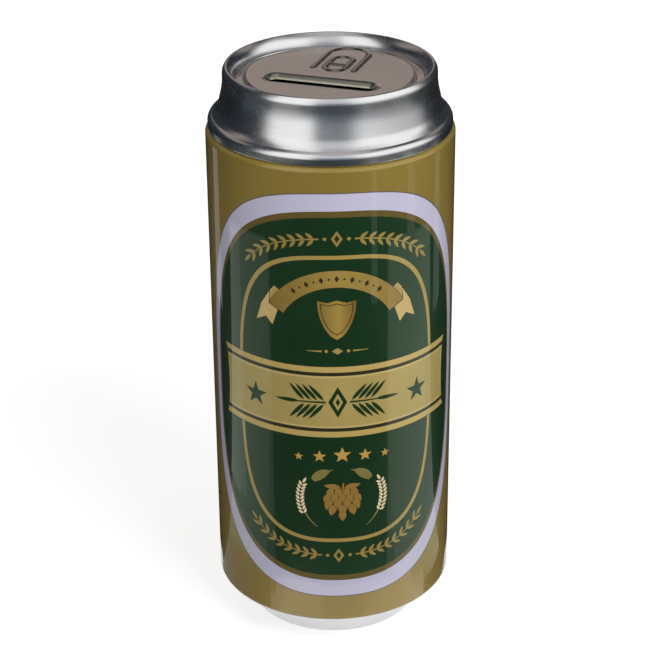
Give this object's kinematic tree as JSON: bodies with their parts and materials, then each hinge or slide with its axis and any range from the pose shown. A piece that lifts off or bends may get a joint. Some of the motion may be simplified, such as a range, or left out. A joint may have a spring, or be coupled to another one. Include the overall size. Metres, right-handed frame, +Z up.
{
  "type": "coin bank",
  "caption": "Can-shaped tin coin bank: a printed cylindrical sleeve, a pull-off metal lid with a coin slot and embossed ring-pull, and a tapered metal base.",
  "frame": {"origin": "centre of the foot ring on the ground", "axes": "+Z up along the can's axis, front of the printed panel towards -Y, +X to the right seen from the front"},
  "size_m": [0.066, 0.066, 0.1608],
  "materials": {
    "printed_tinplate": "gloss lacquer print over tinplate",
    "plain_tinplate": "bright tinplate, softly reflecting"
  },
  "bodies": {
    "can": {"body_shell": "printed_tinplate", "base": "plain_tinplate"},
    "lid": {"lid": "plain_tinplate"}
  },
  "joints": [
    {"name": "lid_lift", "type": "slide", "parent": "can", "child": "lid", "axis": [0, 0, 1], "range_m": [0, 0.06]}
  ]
}
